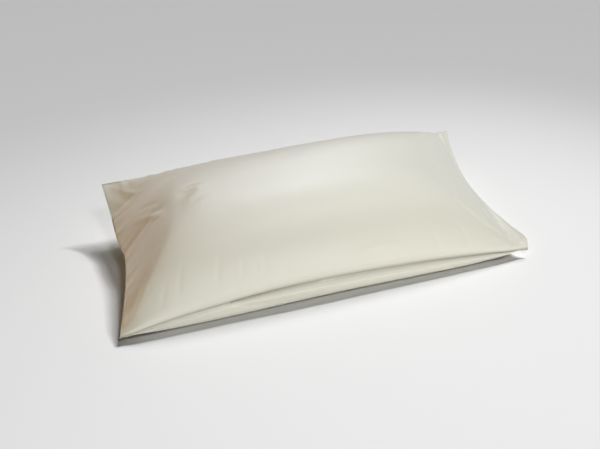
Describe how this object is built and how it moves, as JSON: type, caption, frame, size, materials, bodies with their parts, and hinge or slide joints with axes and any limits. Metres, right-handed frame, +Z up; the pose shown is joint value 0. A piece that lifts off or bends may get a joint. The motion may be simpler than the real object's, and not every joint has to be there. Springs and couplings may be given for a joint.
{
  "type": "filled pillowcase",
  "caption": "Plain rectangular pillowcase with its filling, lying on its back: crowned, with drawn-in ends, thin corners and a narrow seam ridge all round.",
  "frame": {"origin": "bottom centre of the bounding box, on the surface it rests on", "axes": "+X along the long side towards the mouth end, +Y towards the raised back seam, +Z up"},
  "size_m": [0.802, 0.376, 0.1688],
  "materials": {
    "ecru_sateen": "satin"
  },
  "bodies": {
    "root": {"filled_case": "ecru_sateen"}
  },
  "joints": []
}
